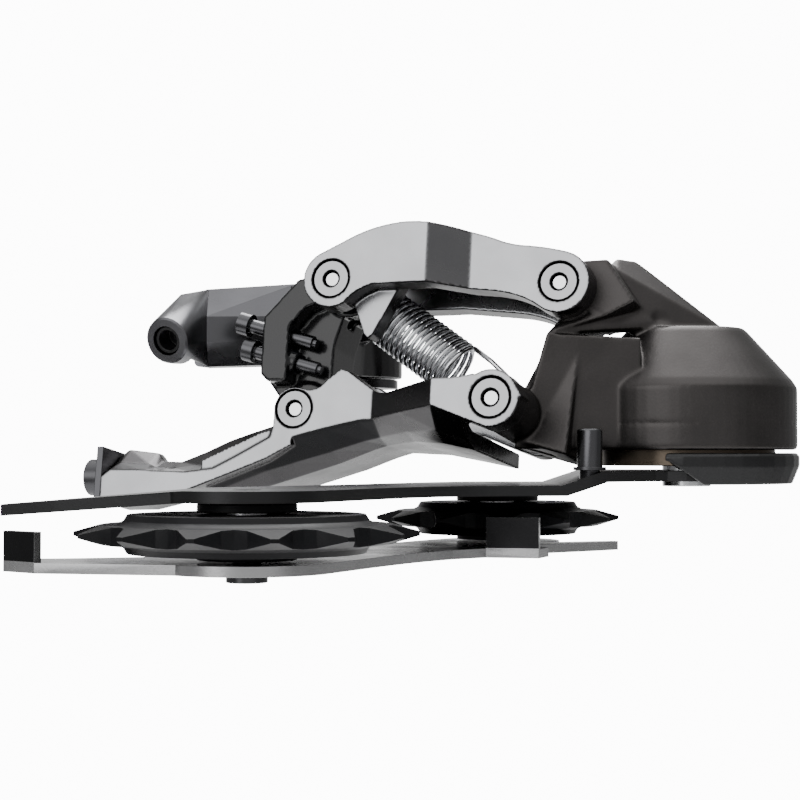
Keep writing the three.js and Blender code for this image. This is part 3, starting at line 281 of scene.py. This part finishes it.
def tube(name, points, radius, sides=10):
    """A round wire swept along the points, with capped ends."""
    mesh = bmesh.new()
    rings = []
    normal = None
    for i, point in enumerate(points):
        ahead = points[min(i + 1, len(points) - 1)] - points[max(i - 1, 0)]
        ahead.normalize()
        if normal is None:
            normal = ahead.orthogonal().normalized()
        normal = (normal - ahead * normal.dot(ahead)).normalized()
        other = ahead.cross(normal)
        rings.append([
            mesh.verts.new(
                point
                + normal * (radius * math.cos(2 * math.pi * k / sides))
                + other * (radius * math.sin(2 * math.pi * k / sides))
            )
            for k in range(sides)
        ])
    for a, b in zip(rings, rings[1:]):
        for k in range(sides):
            mesh.faces.new((a[k], a[(k + 1) % sides], b[(k + 1) % sides], b[k]))
    mesh.faces.new(list(reversed(rings[0])))
    mesh.faces.new(rings[-1])
    data = bpy.data.meshes.new(name)
    mesh.to_mesh(data)
    mesh.free()
    data.shade_smooth()
    piece = bpy.data.objects.new(name, data)
    bpy.context.scene.collection.objects.link(piece)
    return piece


def eased(points, steps):
    """A smooth curve through the points (Catmull-Rom)."""
    padded = [points[0]] + points + [points[-1]]
    out = []
    for a, b, c, d in zip(padded, padded[1:], padded[2:], padded[3:]):
        for i in range(steps):
            t = i / steps
            out.append(0.5 * (
                2 * b + (c - a) * t + (2 * a - 5 * b + 4 * c - d) * t * t
                + (3 * b - a - 3 * c + d) * t * t * t
            ))
    out.append(points[-1])
    return out


# ------------------------------------------------------------------ return spring
SPRING_TOP = Vector((0.0, 0.0, 0.0))
SPRING_FOOT = Vector((39.17, 0.0, -27.56))
SPRING_V = 17.0
SPRING_R = 5.65
SPRING_WIRE = 0.55
SPRING_COILS = 15
SPRING_FROM, SPRING_TO = 8.6, 28.6
HOOK_R = 2.9


def return_spring():
    """A close-wound wire drawn across the parallelogram, with a hook at each end."""
    along = (SPRING_FOOT - SPRING_TOP).normalized()
    length = (SPRING_FOOT - SPRING_TOP).length
    side = Vector((-along.z, 0, along.x))
    up = Vector((0, 1, 0))
    per_turn = 20

    def at(distance, out, lift):
        local = Vector((0, SPRING_V, 0)) + along * distance + side * out + up * lift
        return LINKAGE @ local * MM

    def hook(centre, start, end):
        return [
            at(centre + HOOK_R * math.cos(math.radians(a)), HOOK_R * math.sin(math.radians(a)), 0)
            for a in range(start, end, 30 if end > start else -30)
        ]

    first = hook(0, 270, 60) + [at(4.6, 3.6, 0.0), at(7.6, SPRING_R * 0.9, -1.0)]
    coils = []
    for i in range(SPRING_COILS * per_turn + 1):
        angle = 2 * math.pi * i / per_turn
        distance = SPRING_FROM + (SPRING_TO - SPRING_FROM) * i / (SPRING_COILS * per_turn)
        coils.append(at(distance, SPRING_R * math.cos(angle), SPRING_R * math.sin(angle)))
    last = [at(length - 15, SPRING_R * 0.98, 1.2), at(length - 8, SPRING_R * 0.8, 0.6)]
    last += hook(length, 120, -100)
    path = eased(first, 6)[:-1] + coils + eased(last, 6)
    piece = tube("return_spring_visual", path, SPRING_WIRE * MM)
    keep(piece, "return_spring", rides=False)
    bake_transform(piece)


# ------------------------------------------------------------------ pieces
PLAIN_EDGE = 0.2  # rounding of an edge in mm, where EDGE gives no other
EDGE = {
    "cage_outer_plate": 0.35, "cage_inner_plate": 0.3, "guide_pulley": 0.25, "tension_pulley": 0.25,
    "cage_mount_base": 0.5, "hanger_bolt": 0.4, "cable_stop": 0.5,
}
# Forged and cast pieces: (voxel in mm, rounds of smoothing).
CAST = {
    "p_knuckle": (0.3, 14), "b_knuckle": (0.3, 10), "outer_link": (0.22, 5), "inner_link": (0.22, 8),
    "cage_mount_base": (0.25, 3),
}
for node in frame["nodes"]:
    if node in CAST:
        cast(node, *CAST[node])
    elif node == "return_spring":
        return_spring()
    else:
        refined(node, EDGE.get(node, PLAIN_EDGE))


# ------------------------------------------------------------------ floor, light and camera
def area(name, place, target, size, power):
    light = bpy.data.lights.new(name, "AREA")
    light.shape = "RECTANGLE"
    light.size, light.size_y = size
    light.energy = power
    lamp = bpy.data.objects.new(name, light)
    bpy.context.scene.collection.objects.link(lamp)
    lamp.location = place
    lamp.rotation_euler = (Vector(target) - Vector(place)).to_track_quat("-Z", "Y").to_euler()


def room_light(world):
    """A dim room with soft light from behind, above, the front and a window at the upper left."""
    world.use_nodes = True
    nodes = world.node_tree.nodes
    links = world.node_tree.links
    ground = nodes["Background"]
    coords = nodes.new("ShaderNodeTexCoord")

    def toward(direction, from_, to, low, high):
        dot = nodes.new("ShaderNodeVectorMath")
        dot.operation = "DOT_PRODUCT"
        dot.inputs[1].default_value = Vector(direction).normalized()
        links.new(coords.outputs["Generated"], dot.inputs[0])
        span = nodes.new("ShaderNodeMapRange")
        span.interpolation_type = "SMOOTHSTEP"
        span.inputs["From Min"].default_value = from_
        span.inputs["From Max"].default_value = to
        span.inputs["To Min"].default_value = low
        span.inputs["To Max"].default_value = high
        links.new(dot.outputs["Value"], span.inputs["Value"])
        return span.outputs["Result"]

    def total(a, b):
        both = nodes.new("ShaderNodeMath")
        both.operation = "ADD"
        links.new(a, both.inputs[0])
        links.new(b, both.inputs[1])
        return both.outputs["Value"]

    back = toward((0, 1, 0), 0.80, 0.97, 0.32, 1.3)
    window = toward((-0.60, -0.74, 0.31), 0.88, 0.985, 0.0, 2.4)
    front = toward((0.1, -1, 0.0), 0.5, 0.95, 0.0, 0.35)
    above = toward((0.0, -0.1, 1.0), 0.55, 0.95, 0.0, 1.6)
    links.new(total(total(back, window), total(front, above)), ground.inputs["Strength"])
    ground.inputs["Color"].default_value = (1, 1, 1, 1)


OBJECT_MIDDLE = (0.02, -0.06, 0.0)
FLOOR_RADIUS = 0.46
FLOOR_GAP = 0.2  # the object hangs this far above the floor
BACKDROP_AT = 2.0
BACKDROP_SIZE = 1.6
BACKDROP_GLOW = 12.0


def studio():
    world = bpy.data.worlds.new("studio")
    bpy.context.scene.world = world
    room_light(world)
    area("top", (0.05, 0.25, 0.55), OBJECT_MIDDLE, (0.5, 0.3), 5)
    bpy.ops.mesh.primitive_circle_add(
        vertices=128, radius=FLOOR_RADIUS, fill_type="NGON", location=(0, 0, CAD_SIZE[0][2] - FLOOR_GAP)
    )
    floor = bpy.context.object
    floor.name = "floor"
    pale = bpy.data.materials.new("floor_pale")
    pale.use_nodes = True
    shader = pale.node_tree.nodes["Principled BSDF"]
    shader.inputs["Base Color"].default_value = (0.95, 0.95, 0.95, 1)
    shader.inputs["Roughness"].default_value = 0.9
    floor.data.materials.append(pale)
    backdrop()


def backdrop():
    """A white sheet far behind the object that is seen but neither lights it nor shows in its gloss."""
    bpy.ops.mesh.primitive_plane_add(
        size=BACKDROP_SIZE, location=(0, BACKDROP_AT, 0), rotation=(math.radians(90), 0, 0)
    )
    sheet = bpy.context.object
    sheet.name = "backdrop"
    sheet.visible_glossy = False
    sheet.visible_diffuse = False
    sheet.visible_shadow = False
    white = bpy.data.materials.new("backdrop_white")
    white.use_nodes = True
    shader = white.node_tree.nodes["Principled BSDF"]
    shader.inputs["Emission Color"].default_value = (1, 1, 1, 1)
    shader.inputs["Emission Strength"].default_value = BACKDROP_GLOW
    sheet.data.materials.append(white)


CAMERA_AT = Vector((0.012, -0.440, -0.014))
CAMERA_RISE = 1.4965
CAMERA_LENS = 86.13


def camera():
    lens = bpy.data.cameras.new("photo_view")
    lens.lens = CAMERA_LENS
    lens.sensor_width = 36.0
    lens.clip_start = 0.01
    view = bpy.data.objects.new("photo_view", lens)
    bpy.context.scene.collection.objects.link(view)
    view.location = CAMERA_AT
    view.rotation_euler = (math.radians(90 + CAMERA_RISE), 0, 0)
    bpy.context.scene.camera = view


studio()
camera()
